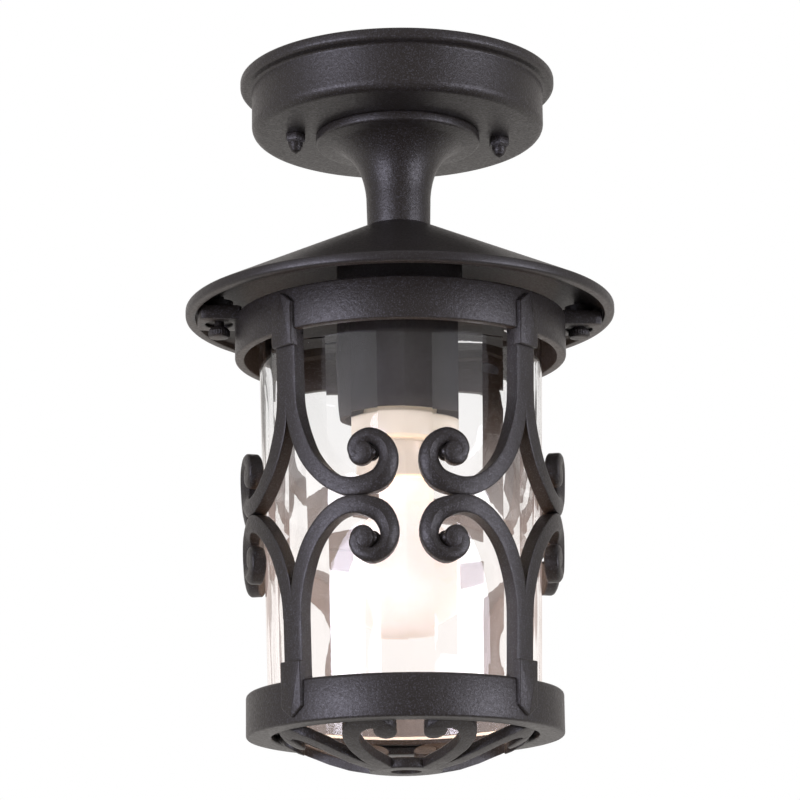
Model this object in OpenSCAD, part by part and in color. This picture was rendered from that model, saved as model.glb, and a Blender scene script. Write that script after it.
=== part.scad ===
// Porch ceiling lantern: canopy, flared stem, conical roof, scroll cage round a glass
// cylinder, and a domed openwork bottom. Millimetres, +Z is up. The ceiling is the plane
// Z = 0 and the lantern hangs below it. The dome nuts and the cage ears lie on the X axis.

/* [Canopy] */
// Radius of the flange that meets the ceiling
canopy_flange_r = 84.5; // [64:0.5:120]
// How far the drum is set in from the flange
canopy_step = 6.2; // [3:0.1:12]
// Thickness of the flange
canopy_flange_t = 6.2; // [4:0.1:10]
// Full height of the canopy
canopy_h = 31; // [24:0.5:45]
// Wall of the canopy casting
canopy_wall = 3; // [2:0.1:4.5]
// Radius of the rounded lower edge
canopy_round = 4; // [2:0.1:6]
// Distance between the two dome nuts
stud_pitch = 110; // [90:1:140]
// Radius of the threaded studs
stud_r = 3; // [2:0.5:4]
// Width across the flats of the dome nuts
nut_af = 10; // [7:0.5:14]
// Height of the dome nuts
nut_h = 11; // [8:0.5:14]

/* [Stem] */
// Radius of the disc under the canopy
stem_disc_r = 44; // [36:0.5:56]
// Thickness of that disc
stem_disc_t = 5; // [3:0.5:8]
// Radius where the flare leaves the disc
stem_flare_r = 34; // [26:0.5:42]
// Height of the flare
stem_flare_h = 24; // [15:0.5:32]
// Radius of the neck
stem_neck_r = 17; // [14:0.5:24]
// Length of the stem from canopy to roof
stem_len = 51.8; // [42:0.1:80]
// Wall of the stem casting
stem_wall = 4; // [3:0.1:6]

/* [Roof] */
// Outer radius of the roof
roof_r = 113.5; // [96:0.5:150]
// Drop from the stem seat to the top of the rim
roof_drop = 45.4; // [30:0.1:60]
// Height of the rim
roof_rim_h = 5; // [4:0.1:8]
// Wall of the roof, measured upright
roof_wall = 3.6; // [3:0.1:5]
// Width of the flat lip under the rim
roof_lip_w = 5.3; // [3:0.1:8]

/* [Cage] */
// Outer radius of the top ring
ring_top_r = 87.4; // [72:0.2:110]
// How much smaller the bottom ring is in radius
ring_taper = 5.5; // [0:0.1:9]
// Height of each ring
ring_h = 22; // [16:0.5:30]
// Wall of the rings
ring_wall = 4.9; // [4:0.1:7]
// Height of the cage from ring to ring, over both
cage_h = 222; // [180:1:280]
// Width of the posts
post_w = 13.2; // [10:0.1:16]
// Depth of the posts and scrolls
post_t = 8; // [6:0.1:10]
// How far the gable caps stand out from the posts
cap_proud = 2.3; // [1:0.1:4]
// How far the gable caps lap over the posts
cap_lap = 9; // [5:0.5:14]
// Angle that the scrolls reach to each side of a post
scroll_reach = 41.6; // [36:0.1:43]
// Height from the seam of the scrolls to the fork of the post
scroll_half_h = 43.5; // [36:0.5:52]
// Width of the two ears on the top ring
ear_w = 26; // [20:0.5:32]
// Thickness of the ears
ear_t = 7.6; // [5:0.1:9]
// Angle from the right ear to the first post
post_turn = 41.4; // [38:0.1:52]
// How far the left cage screw stands out of its ear
screw_out = 2.6; // [0:0.1:4]
// Radius of the cage screws
cage_screw_r = 2.5; // [2:0.1:3]

/* [Glass and grille] */
// Gap between the top ring and the glass
glass_gap = 7.3; // [5:0.1:10]
// Wall of the glass
glass_wall = 4; // [3:0.1:6]
// Width of the inward lip of the bottom ring
ring_lip_w = 8.1; // [6:0.1:12]
// How far the domed grille hangs below the cage
grille_drop = 17.5; // [12:0.5:30]
// Thickness of the grille casting
grille_t = 5.5; // [3:0.1:7]
// Radius of the flat centre of the grille
grille_boss_r = 19; // [14:0.5:26]
// Radius of the hole in that centre
grille_hole_r = 8; // [3:0.5:11]

/* [Lampholder and lamp] */
// Radius of the cup over the lampholder
cup_r = 33.4; // [26:0.2:36]
// Radius of the flange of the lampholder
flange_r = 27.8; // [24:0.2:32]
// Level of the lower edge of the cup below the roof seat
cup_len = 105.2; // [90:0.1:115]
// Radius of the lamp bulb
bulb_r = 30; // [25:0.5:34]
// Length of the lamp with its cap
bulb_len = 112; // [100:1:120]
// Radius of the lamp cap
bulb_cap_r = 13.1; // [13:0.05:13.3]

/* [Fixings and wiring] */
// Radius of the threaded tube
tube_r = 5; // [4:0.5:6.5]
// Width across the flats of the tube nuts
tube_nut_af = 14; // [13:0.5:19]
// Radius of the insulated leads
lead_r = 1.1; // [0.8:0.05:1.3]
// Thickness of the ceiling bracket
bracket_t = 2; // [1.5:0.1:3]
// Distance between the ceiling screw slots
slot_pitch = 76; // [60:1:84]
// Radius of the ceiling screw slots
slot_r = 2.4; // [2:0.1:3]

/* [Hidden] */
$fn = 72;
// running clearance, close gap and clearance hole
run = 0.06;
gap = 0.1;
clear = 0.4;
// levels
z_can = -canopy_h;
z_seat = z_can - stem_len;
z_rim_top = z_seat - roof_drop;
z_rim = z_rim_top - roof_rim_h;
z_ring = z_rim - gap;
z_ring_low = z_ring - ring_h;
z_base = z_ring - cage_h;
z_base_top = z_base + ring_h;
z_seam = (z_ring_low + z_base_top) / 2;
// radii of the cage
ring_bot_r = ring_top_r - ring_taper;
ring_top_in = ring_top_r - ring_wall;
ring_bot_in = ring_bot_r - ring_wall;
lip_in = ring_bot_in - ring_lip_w;
cage_slope = ring_taper / (z_ring_low - z_base_top);
function cage_r(z) = ring_bot_r + (z - z_base_top) * cage_slope;
mid_r = cage_r(z_seam);
// radii and slope of the roof
roof_top_r = stem_neck_r + 0.8;
roof_slope = roof_drop / (roof_r - roof_top_r);
function roof_z(r) = z_seat - (r - roof_top_r) * roof_slope;
lip_r = roof_r - roof_lip_w;
// ears and their screws
ear_r = lip_r - 0.9;
ear_top = roof_z(lip_r) - roof_wall - 0.4;
ear_low = ear_top - ear_t;
ear_hole_x = ring_top_r + (lip_r - ring_top_r) * 0.404;
ear_pocket_r = 7.3;
ear_pocket_h = 1.6;
screw_top = roof_z(ear_hole_x + cage_screw_r) - 1.9;
// glass, its seal and its seat
glass_top_r = ring_top_in - glass_gap;
z_glass_top = z_rim + 3;
seal_t = 4;
rim_t = 3;
z_grille = z_base + 4.4;
z_seat_ring = z_grille + rim_t;
z_glass_low = z_seat_ring + 1.5;
glass_low_r = glass_top_r - ring_taper * (z_glass_top - z_glass_low) / cage_h * 0.95;
// canopy
drum_r = canopy_flange_r - canopy_step;
canopy_floor = 3.5;
z_floor = z_can + canopy_floor;
stud_x = stud_pitch / 2;
gasket_w = 3;
gasket_h = 2.2;
// ceiling bracket, which ends inside the drum
bracket_w = 22;
bracket_x = min(stud_x + 10, sqrt(pow(drum_r - canopy_wall, 2) - pow(bracket_w / 2, 2)) - 0.6);
// lampholder and lamp
z_boss = z_seat - 13.2;
cup_wall = 1.2;
z_cup_low = z_seat - cup_len;
flange_h = 15;
holder_r = 21;
skirt_h = 19;
z_flange_low = z_cup_low - gap - flange_h;
z_skirt_low = z_flange_low - skirt_h;
z_holder_top = z_cup_low + 29;
shell_in = bulb_cap_r + 0.08;
shell_out = shell_in + 0.7;
z_socket = z_cup_low - 2;
cap_h = 26;
z_tip = z_socket - 3.3;
z_cap_low = z_tip - 2 - cap_h;
z_bulb_low = z_tip - bulb_len;
// tube and nuts
washer_r = tube_nut_af * 0.72;
washer_t = 1.2;
tube_nut_h = 5;
bracket_web = 2;
z_web = z_boss - gap - cup_wall;
z_tube_low = z_web - bracket_web - washer_t - tube_nut_h - 3;
z_tube_top = z_floor + washer_t + tube_nut_h + 2;
tube_in = tube_r - 1.6;
// terminal block
block_x = 13;
block_l = 30;
block_w = 17;
block_h = 11;
block_z = -bracket_t - gap;
way = 5;
wire_z = block_z - block_h / 2;
earth_x = -22;

iron = [0.11, 0.11, 0.12];
steel = [0.72, 0.73, 0.75];
brass = [0.78, 0.62, 0.3];

// ---------- helpers ----------
function arc(cx, cy, r, a0, a1, n = 4) =
  [for (i = [0 : n]) [cx + r * cos(a0 + (a1 - a0) * i / n), cy + r * sin(a0 + (a1 - a0) * i / n)]];

function bez(a, b, c, d, n = 8) =
  [for (i = [1 : n]) let (t = i / n, s = 1 - t)
    a * s * s * s + b * 3 * s * s * t + c * 3 * s * t * t + d * t * t * t];

// upright ring of rectangular section with small rounded corners
module band(ri, ro, z0, z1, e = 1.2) {
  rotate_extrude()
    polygon(concat(arc(ro - e, z1 - e, e, 90, 0, 2), arc(ro - e, z0 + e, e, 0, -90, 2),
      [[ri, z0], [ri, z1]]));
}

module washer(ri, ro, z0, t) {
  translate([0, 0, z0])
    difference() {
      cylinder(r = ro, h = t);
      translate([0, 0, -1])
        cylinder(r = ri, h = t + 2);
    }
}

module hex_nut(af, ri, z0, h) {
  translate([0, 0, z0])
    difference() {
      cylinder(r = af / 2 / cos(30), h = h, $fn = 6);
      translate([0, 0, -1])
        cylinder(r = ri, h = h + 2);
    }
}

// outline drawn in [along the wall, height], pushed outward along X
module outward(x0, x1)
  rotate([90, 0, 90])
    translate([0, 0, x0])
      linear_extrude(height = x1 - x0)
        children();

// cylinder between two points, with a ball at its start
module link(a, b, r) {
  v = b - a;
  len = norm(v);
  translate(a) {
    sphere(r = r * 1.07, $fn = 24);
    rotate([0, acos(v[2] / len), atan2(v[1], v[0])])
      cylinder(r = r, h = len, $fn = 24);
  }
}

module wire(pts, r)
  union() {
    for (i = [0 : len(pts) - 2])
      link(pts[i], pts[i + 1], r);
  }

// ---------- ceiling side ----------
module mounting_bracket()
  color(steel)
    difference() {
      translate([-bracket_x, -bracket_w / 2, -bracket_t])
        cube([bracket_x * 2, bracket_w, bracket_t]);
      translate([0, 0, -bracket_t - 1])
        cylinder(r = 6, h = bracket_t + 2);
      for (s = [-1, 1]) {
        translate([s * stud_x, 0, -bracket_t - 1])
          cylinder(r = stud_r + gap, h = bracket_t + 2);
        for (d = [-2.5, 2.5])
          translate([s * slot_pitch / 2 + d, 0, -bracket_t - 1])
            cylinder(r = slot_r, h = bracket_t + 2);
        translate([s * slot_pitch / 2 - 2.5, -slot_r, -bracket_t - 1])
          cube([5, slot_r * 2, bracket_t + 2]);
      }
      translate([earth_x, 0, -bracket_t - 1])
        cylinder(r = 2.1, h = bracket_t + 2);
    }

module canopy_studs()
  color(steel)
    for (s = [-1, 1])
      translate([s * stud_x, 0, z_can - nut_h * 0.72])
        cylinder(r = stud_r, h = canopy_h + nut_h * 0.72 - 0.3);

module canopy()
  color(iron)
    difference() {
      rotate_extrude()
        polygon(concat(
          [[canopy_flange_r - 1, 0]],
          arc(canopy_flange_r - 1, -1, 1, 90, 0, 2),
          arc(canopy_flange_r - 2, -canopy_flange_t + 2, 2, 0, -90, 3),
          arc(drum_r + 2, -canopy_flange_t - 2, 2, 90, 180, 3),
          arc(drum_r - canopy_round, z_can + canopy_round, canopy_round, 0, -90, 4),
          [[tube_r + clear, z_can], [tube_r + clear, z_floor],
           [drum_r - canopy_wall - 4, z_floor], [drum_r - canopy_wall, z_floor + 4],
           [drum_r - canopy_wall, 0]]));
      for (s = [-1, 1])
        translate([s * stud_x, 0, z_can - 1])
          cylinder(r = stud_r + clear, h = canopy_floor + 2);
      translate([0, 0, -gasket_h])
        washer(canopy_flange_r - 2 - gasket_w - gap, canopy_flange_r - 2 + gap, 0, gasket_h + 1);
    }

module canopy_gasket()
  color([0.12, 0.12, 0.12])
    washer(canopy_flange_r - 2 - gasket_w, canopy_flange_r - 2, -gasket_h + gap, gasket_h - gap);

module dome_nut()
  color(iron)
    difference() {
      union() {
        translate([0, 0, z_can - gap - nut_af / 2])
          cylinder(r = nut_af / 2 / cos(30), h = nut_af / 2, $fn = 6);
        rotate_extrude()
          polygon(concat([[0, z_can - gap - 1]],
            [[nut_af * 0.44, z_can - gap - 1]],
            arc(0, z_can - nut_h + nut_af * 0.44, nut_af * 0.44, 0, -90, 6)));
      }
      translate([0, 0, z_can - nut_h * 0.78])
        cylinder(r = stud_r + run, h = nut_h);
    }

module dome_nut_left()
  translate([-stud_x, 0, 0])
    dome_nut();

module dome_nut_right()
  translate([stud_x, 0, 0])
    dome_nut();

module stem()
  color(iron)
    rotate_extrude()
      polygon(concat(
        [[tube_r + clear, z_seat + 5], [tube_r + clear, z_seat + gap / 2]],
        [[stem_neck_r - 0.2, z_seat + gap / 2], [stem_neck_r, z_seat + 16]],
        bez([stem_neck_r, z_seat + 16], [stem_neck_r + 0.6, z_can - stem_disc_t - stem_flare_h * 0.72],
          [stem_neck_r + 5, z_can - stem_disc_t - stem_flare_h * 0.42],
          [stem_flare_r, z_can - stem_disc_t - 0.4], 9),
        [[stem_disc_r - 1.2, z_can - stem_disc_t]],
        arc(stem_disc_r - 1.2, z_can - stem_disc_t + 1.2, 1.2, -90, 0, 2),
        arc(stem_disc_r - 1, z_can - 1, 1, 0, 90, 2),
        [[stem_flare_r - stem_wall - 3, z_can]],
        bez([stem_flare_r - stem_wall - 3, z_can],
          [stem_neck_r - stem_wall + 5, z_can - stem_flare_h * 0.42],
          [stem_neck_r - stem_wall + 0.6, z_can - stem_flare_h * 0.72],
          [stem_neck_r - stem_wall, z_seat + 16], 6),
        [[stem_neck_r - stem_wall, z_seat + 5]]));

module threaded_tube()
  color(steel)
    washer(tube_in, tube_r, z_tube_low, z_tube_top - z_tube_low);

module tube_washers()
  color(steel) {
    washer(tube_r + gap, washer_r, z_floor, washer_t);
    washer(tube_r + gap, washer_r, z_web - bracket_web - washer_t, washer_t);
  }

module tube_nuts()
  color(steel) {
    hex_nut(tube_nut_af, tube_r + gap, z_floor + washer_t, tube_nut_h);
    hex_nut(tube_nut_af, tube_r + gap, z_web - bracket_web - washer_t - tube_nut_h, tube_nut_h);
  }

// ---------- roof ----------
module roof()
  color(iron)
    difference() {
      union() {
        rotate_extrude()
          polygon(concat(
            [[tube_r + clear, z_seat], [roof_top_r, z_seat], [roof_r - 1.2, roof_z(roof_r - 1.2)]],
            arc(roof_r - 1.4, z_rim_top - 1.4, 1.4, 60, 0, 3),
            arc(roof_r - 1.4, z_rim + 1.4, 1.4, 0, -90, 3),
            [[lip_r, z_rim], [lip_r, roof_z(lip_r) - roof_wall],
             [30, roof_z(30) - roof_wall], [24, z_boss + 2], [24, z_boss], [tube_r + clear, z_boss]]));
        for (s = [-1, 1])
          translate([s * ear_hole_x, 0, ear_top + gap])
            cylinder(r = 7.6, h = roof_z(ear_hole_x + 7.6) - ear_top - 0.8);
      }
      for (s = [-1, 1])
        translate([s * ear_hole_x, 0, ear_top - 1])
          cylinder(r = cage_screw_r + run, h = screw_top - ear_top + 1.3);
    }

module glass_seal()
  color([0.1, 0.1, 0.1])
    washer(glass_top_r + gap, ring_top_in - gap, z_ring - 2 - seal_t, seal_t);

// ---------- wiring ----------
module terminal_block()
  color([0.93, 0.92, 0.88])
    difference() {
      translate([block_x, -block_w / 2, block_z - block_h])
        cube([block_l, block_w, block_h]);
      for (y = [-way, 0, way])
        translate([block_x - 1, y, wire_z])
          rotate([0, 90, 0])
            cylinder(r = 2 + gap, h = block_l + 2);
      for (y = [-way, 0, way], x = [7, block_l - 7])
        translate([block_x + x, y, block_z - block_h - 1])
          cylinder(r = 1.6, h = 4.6);
    }

module terminal_sleeves()
  color(brass)
    for (y = [-way, 0, way])
      difference() {
        translate([block_x + 3, y, wire_z])
          rotate([0, 90, 0])
            cylinder(r = 2, h = block_l - 6);
        translate([block_x + 2, y, wire_z])
          rotate([0, 90, 0])
            cylinder(r = lead_r + gap, h = block_l - 4);
      }

module earth_screw()
  color(brass) {
    translate([earth_x, 0, -bracket_t - 3.4])
      cylinder(r = 3.8, h = 2.3);
    translate([earth_x, 0, -bracket_t - 1.2])
      cylinder(r = 2, h = bracket_t + 1);
  }

module earth_tag()
  color(steel)
    difference() {
      union() {
        translate([earth_x, 0, -bracket_t - 1])
          cylinder(r = 4.2, h = 0.9);
        translate([earth_x, -1.5, -bracket_t - 1])
          cube([7.5, 3, 0.9]);
        translate([earth_x + 5.5, 0, -bracket_t - 1.9])
          rotate([0, 90, 0])
            cylinder(r = 1.75, h = 6);
      }
      translate([earth_x, 0, -bracket_t - 2])
        cylinder(r = 2.1, h = 3);
      translate([earth_x + 4, 0, -bracket_t - 1.9])
        rotate([0, 90, 0])
          cylinder(r = lead_r + gap, h = 9);
      translate([earth_x + 3, -3, -bracket_t - gap])
        cube([10, 6, 3]);
    }

module earth_lead()
  color([0.35, 0.6, 0.2])
    wire([[earth_x + 6.5, 0, -bracket_t - 1.9], [earth_x + 13, 0, -bracket_t - 1.9],
      [earth_x + 18, -way - 4, -5.6], [block_x - 7, -way - 4, wire_z + 0.6],
      [block_x - 2, -way, wire_z], [block_x + 9, -way, wire_z]], lead_r);

// w: the way of the block it starts in, s: its side of the tube
module phase_lead(w, s) {
  d = 1.4 * s;
  wire([[block_x + 9, w, wire_z], [block_x - 4, w, wire_z], [3, w * 0.35 + d, -12.5],
    [0, d, z_tube_top - 2], [0, d, z_tube_low - 3], [0, 7 * s, z_tube_low - 16],
    [0, 12 * s, z_holder_top + 18], [0, 12 * s, z_holder_top - 5]], lead_r);
}

module live_lead()
  color([0.4, 0.22, 0.12])
    phase_lead(way, 1);

module neutral_lead()
  color([0.15, 0.35, 0.7])
    phase_lead(0, -1);

// ---------- lampholder ----------
module holder_bracket()
  color(steel)
    difference() {
      union() {
        translate([-23, -7, z_web - bracket_web])
          cube([46, 14, bracket_web]);
        for (s = [-1, 1]) {
          translate([s > 0 ? 21.4 : -23, -7, z_holder_top + gap])
            cube([1.6, 14, z_web - z_holder_top - gap]);
          translate([s > 0 ? 11.5 : -23, -6, z_holder_top + gap])
            cube([11.5, 12, 1.6]);
        }
      }
      translate([0, 0, z_web - bracket_web - 1])
        cylinder(r = tube_r + clear, h = bracket_web + 2);
      for (s = [-1, 1])
        translate([s * 16, 0, z_holder_top - 1])
          cylinder(r = 1.85, h = 4);
    }

module holder_screws()
  color(steel)
    for (s = [-1, 1])
      translate([s * 16, 0, 0]) {
        translate([0, 0, z_holder_top + gap + 1.6])
          cylinder(r = 3.1, h = 2.2);
        translate([0, 0, z_holder_top - 12])
          cylinder(r = 1.7, h = 14);
      }

module lampholder_cup()
  color(iron)
    rotate_extrude()
      polygon([[tube_r + clear, z_web], [tube_r + clear, z_web + cup_wall],
        [cup_r - 1.5, z_web + cup_wall], [cup_r, z_web + cup_wall - 1.5], [cup_r, z_cup_low],
        [cup_r - cup_wall, z_cup_low], [cup_r - cup_wall, z_web - 0.6],
        [cup_r - cup_wall - 0.6, z_web]]);

module lampholder()
  color([0.93, 0.9, 0.82])
    difference() {
      rotate_extrude()
        polygon([[0, z_socket], [0, z_holder_top], [holder_r, z_holder_top],
          [holder_r, z_cup_low - gap], [flange_r - 1.2, z_cup_low - gap],
          [flange_r, z_cup_low - gap - 1.2], [flange_r, z_flange_low + 1.5],
          [flange_r - 1.5, z_flange_low], [holder_r - 0.6, z_flange_low],
          [holder_r - 0.6, z_skirt_low + 1], [holder_r - 1.6, z_skirt_low],
          [shell_out + 0.2, z_skirt_low], [shell_out + 0.2, z_socket]]);
      for (s = [-1, 1]) {
        translate([s * 16, 0, z_holder_top - 12.5])
          cylinder(r = 1.8, h = 14);
        translate([-3.4, s * 12 - 3, z_holder_top - 10])
          cube([6.8, 6, 11]);
      }
      translate([0, 0, z_socket - 1])
        cylinder(r = 1.6, h = 8);
    }

module holder_terminals()
  color(brass)
    for (s = [-1, 1])
      difference() {
        translate([-3.3, s * 12 - 2.9, z_holder_top - 9.9])
          cube([6.6, 5.8, 9.4]);
        translate([0, s * 12, z_holder_top - 7])
          cylinder(r = lead_r + gap, h = 8);
      }

module screw_shell()
  color(brass)
    difference() {
      translate([0, 0, z_skirt_low + 3])
        cylinder(r = shell_out, h = z_socket - gap - z_skirt_low - 3);
      translate([0, 0, z_skirt_low + 2])
        cylinder(r = shell_in, h = z_socket - 1 - z_skirt_low - 2);
      translate([0, 0, z_socket - 4])
        cylinder(r = 7, h = 6);
    }

module centre_contact()
  color(brass) {
    translate([0, 0, z_socket - 3.2])
      cylinder(r = 4.5, h = 0.9);
    translate([0, 0, z_socket - 2.4])
      cylinder(r = 1.5, h = 8);
  }

// ---------- lamp ----------
module bulb_contact()
  color(steel)
    translate([0, 0, z_tip - 1])
      cylinder(r = 4.4, h = 1);

module bulb_insulator()
  color([0.1, 0.1, 0.1])
    translate([0, 0, z_tip - 2])
      cylinder(r1 = 8.5, r2 = 5.2, h = 1);

module bulb_cap()
  color(steel)
    rotate_extrude()
      polygon([[0, z_tip - 2.05], [8.5, z_tip - 2.05], [bulb_cap_r, z_tip - 6],
        [bulb_cap_r, z_cap_low], [bulb_cap_r - 0.4, z_cap_low],
        [bulb_cap_r - 0.4, z_tip - 6.4], [8, z_tip - 2.6], [0, z_tip - 2.6]]);

module bulb_envelope()
  color([0.97, 0.95, 0.9])
    rotate_extrude()
      polygon(concat(
        [[bulb_cap_r - 0.5, z_cap_low + 5], [bulb_cap_r - 0.5, z_cap_low - 1]],
        bez([bulb_cap_r - 0.5, z_cap_low - 1], [bulb_cap_r + 0.6, z_cap_low - 16],
          [bulb_r, z_bulb_low + bulb_r + 16], [bulb_r, z_bulb_low + bulb_r], 10),
        arc(0, z_bulb_low + bulb_r, bulb_r, 0, -90, 10),
        arc(0, z_bulb_low + bulb_r, bulb_r - 1, -90, 0, 10),
        bez([bulb_r - 1, z_bulb_low + bulb_r], [bulb_r - 1, z_bulb_low + bulb_r + 16],
          [bulb_cap_r - 0.4, z_cap_low - 16], [bulb_cap_r - 1.5, z_cap_low - 1], 10),
        [[bulb_cap_r - 1.5, z_cap_low + 5]]));

module bulb_mount()
  color([0.8, 0.85, 0.85]) {
    rotate_extrude()
      polygon([[0, z_cap_low + 4.5], [bulb_cap_r - 1.6, z_cap_low + 4.5],
        [bulb_cap_r - 1.6, z_cap_low + 3], [4, z_cap_low + 1], [2.6, z_cap_low - 34],
        [0, z_cap_low - 36]]);
    for (s = [-1, 1])
      link([s * 1.4, 0, z_cap_low - 32], [s * 11.8, 0, z_cap_low - 41.3], 0.5);
  }

module filament()
  color([0.9, 0.8, 0.5])
    translate([0, 0, z_cap_low - 42])
      intersection() {
        rotate_extrude()
          translate([12, 0])
            circle(r = 0.7, $fn = 16);
        translate([-14, -14, -2])
          cube([28, 14, 4]);
      }

// ---------- cage ----------
// gable outline: width w, from low to tip, with its point at the tip
module gable(w, low, tip) {
  s = tip > low ? 1 : -1;
  polygon([[-w / 2, low], [w / 2, low], [w / 2, tip - s * w * 0.38], [0, tip],
    [-w / 2, tip - s * w * 0.38]]);
}

module cap_shell(z_hi, z_mid, z_lo, ri_hi, ri_lo)
  rotate_extrude()
    polygon([[ri_hi, z_hi], [cage_r(z_hi) + cap_proud, z_hi], [cage_r(z_lo) + cap_proud, z_lo],
      [ri_lo, z_lo], [ri_lo, z_mid], [ri_hi, z_mid]]);

module top_ring()
  color(iron)
    difference() {
      union() {
        band(ring_top_in, ring_top_r, z_ring_low, z_ring, 1);
        intersection() {
          cap_shell(z_ring - 1, z_ring_low, z_ring_low - cap_lap - 1, ring_top_r - 3,
            cage_r(z_ring_low) + 0.2);
          for (a = [post_turn : 90 : post_turn + 270])
            rotate([0, 0, a])
              outward(60, 100)
                gable(post_w + 0.6, z_ring_low - cap_lap, z_ring - 2.6);
        }
        intersection() {
          washer(ring_top_in + 0.6, ear_r, ear_low, ear_t);
          translate([-ear_r - 1, -ear_w / 2, ear_low - 1])
            cube([ear_r * 2 + 2, ear_w, ear_t + 2]);
        }
      }
      for (s = [-1, 1]) {
        translate([s * ear_hole_x, 0, ear_low - 1])
          cylinder(r = cage_screw_r + run, h = ear_t + 2);
        translate([s * ear_hole_x, 0, ear_low - 1])
          cylinder(r = ear_pocket_r, h = ear_pocket_h + 1);
      }
      for (a = [post_turn : 90 : post_turn + 270])
        rotate([0, 0, a])
          translate([60, 0, z_ring_low + 8])
            rotate([0, 90, 0])
              cylinder(r = 2, h = ring_top_r + 0.9 - 60, $fn = 32);
    }

module cage_screw()
  color(iron)
    translate([0, 0, ear_low + ear_pocket_h - run]) {
      rotate_extrude()
        polygon([[0, 0], [4.3, 0], [4.5, -1.6], [5.2, -2], [5.7, -2.6], [5.7, -5],
          [5, -5.8], [3.6, -6.2], [0, -6.3]]);
      translate([0, 0, -1])
        cylinder(r = cage_screw_r, h = screw_top - ear_low - ear_pocket_h + 1);
    }

module cage_screw_left()
  translate([-ear_hole_x, 0, -screw_out])
    cage_screw();

module cage_screw_right()
  translate([ear_hole_x, 0, 0])
    cage_screw();

// outline of one scroll arm in millimetres along the wall and above the seam
su = mid_r * scroll_reach * PI / 180 / 61.4;
sh = scroll_half_h / 43.5;
function arm_outline() = concat(
  [[post_w / 2 / su, 58]],
  bez([6.6, 58], [6.9, 34], [20, 10], [38.5, 8.7], 9),
  bez([38.5, 8.7], [44.5, 8.3], [48.6, 11.5], [49.2, 16], 5),
  bez([49.2, 16], [41.5, 12.8], [34.9, 17], [34.7, 24], 6),
  bez([34.7, 24], [34.6, 30], [40.5, 33.9], [48.1, 33.9], 5),
  bez([48.1, 33.9], [55.4, 33.9], [61.3, 26.8], [61.3, 18.8], 5),
  bez([61.3, 18.8], [61.3, 11], [56.5, 4.5], [51, 0], 4),
  [[29.8, 0]],
  bez([29.8, 0], [20, 6.5], [5, 17], [0, 43.5], 8),
  [[0, 58]]);
arm_dir = 22;

module arms(s)
  for (t = [-1, 1])
    mirror([0, t > 0 ? 0 : 1, 0])
      rotate([0, 0, arm_dir])
        outward(55, 100)
          polygon([for (p = arm_outline())
            [mid_r * sin(p[0] * su / mid_r * 180 / PI - arm_dir), z_seam + s * p[1] * sh]]);

module scroll_post(k) {
  top = z_ring_low - gap;
  low = z_base_top + gap;
  color(iron)
    rotate([0, 0, post_turn + 90 * k])
      difference() {
        union() {
          intersection() {
            rotate_extrude()
              polygon([[cage_r(top) - post_t, top], [cage_r(top), top], [cage_r(low), low],
                [cage_r(low) - post_t, low]]);
            union() {
              outward(55, 100)
                polygon([[-post_w / 2, z_seam + 50 * sh], [post_w / 2, z_seam + 50 * sh],
                  [post_w / 2, top + 1], [-post_w / 2, top + 1]]);
              outward(55, 100)
                polygon([[-post_w / 2, z_seam - 50 * sh], [post_w / 2, z_seam - 50 * sh],
                  [post_w / 2, low - 1], [-post_w / 2, low - 1]]);
              arms(1);
              arms(-1);
            }
          }
          intersection() {
            washer(ring_top_in - 3.4, ring_top_in - 0.15, top - 2, 18);
            translate([60, -post_w / 2, top - 2])
              cube([40, post_w, 20]);
          }
          intersection() {
            washer(ring_bot_in - 3.4, ring_bot_in - 0.15, low - 12.5, 14.5);
            translate([60, -post_w / 2, low - 13])
              cube([40, post_w, 18]);
          }
        }
        translate([0, 0, z_seam])
          rotate_extrude()
            polygon([[mid_r - 1.4, 0], [mid_r + 1, -1.1], [mid_r + 1, 1.1]]);
        translate([ring_top_in - 6, 0, z_ring_low + 8])
          rotate([0, 90, 0]) {
            cylinder(r = 2.1, h = 12, $fn = 32);
            cylinder(r1 = 6.3, r2 = 2.1, h = 4.2, $fn = 32);
          }
        translate([ring_bot_in - 6, 0, z_base_top - 6.5])
          rotate([0, 90, 0]) {
            cylinder(r = 2.1, h = 12, $fn = 32);
            cylinder(r1 = 6.3, r2 = 2.1, h = 4.2, $fn = 32);
          }
      }
}

module scroll_post_1()
  scroll_post(0);

module scroll_post_2()
  scroll_post(1);

module scroll_post_3()
  scroll_post(2);

module scroll_post_4()
  scroll_post(3);

// countersunk screw pointing outward, its head flush with the inside of a tongue
module csk(x, z, l)
  translate([x - 3.3, 0, z])
    rotate([0, 90, 0]) {
      cylinder(r1 = 3.5, r2 = 1.9, h = 1.6, $fn = 32);
      translate([0, 0, 1.5])
        cylinder(r = 1.9, h = l - 1.5, $fn = 32);
    }

module post_screws_top()
  color(steel)
    for (a = [post_turn : 90 : post_turn + 270])
      rotate([0, 0, a])
        csk(ring_top_in, z_ring_low + 8, 8.9);

module post_screws_bottom()
  color(steel)
    for (a = [post_turn : 90 : post_turn + 270])
      rotate([0, 0, a])
        csk(ring_bot_in, z_base_top - 6.5, 8.9);

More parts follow.
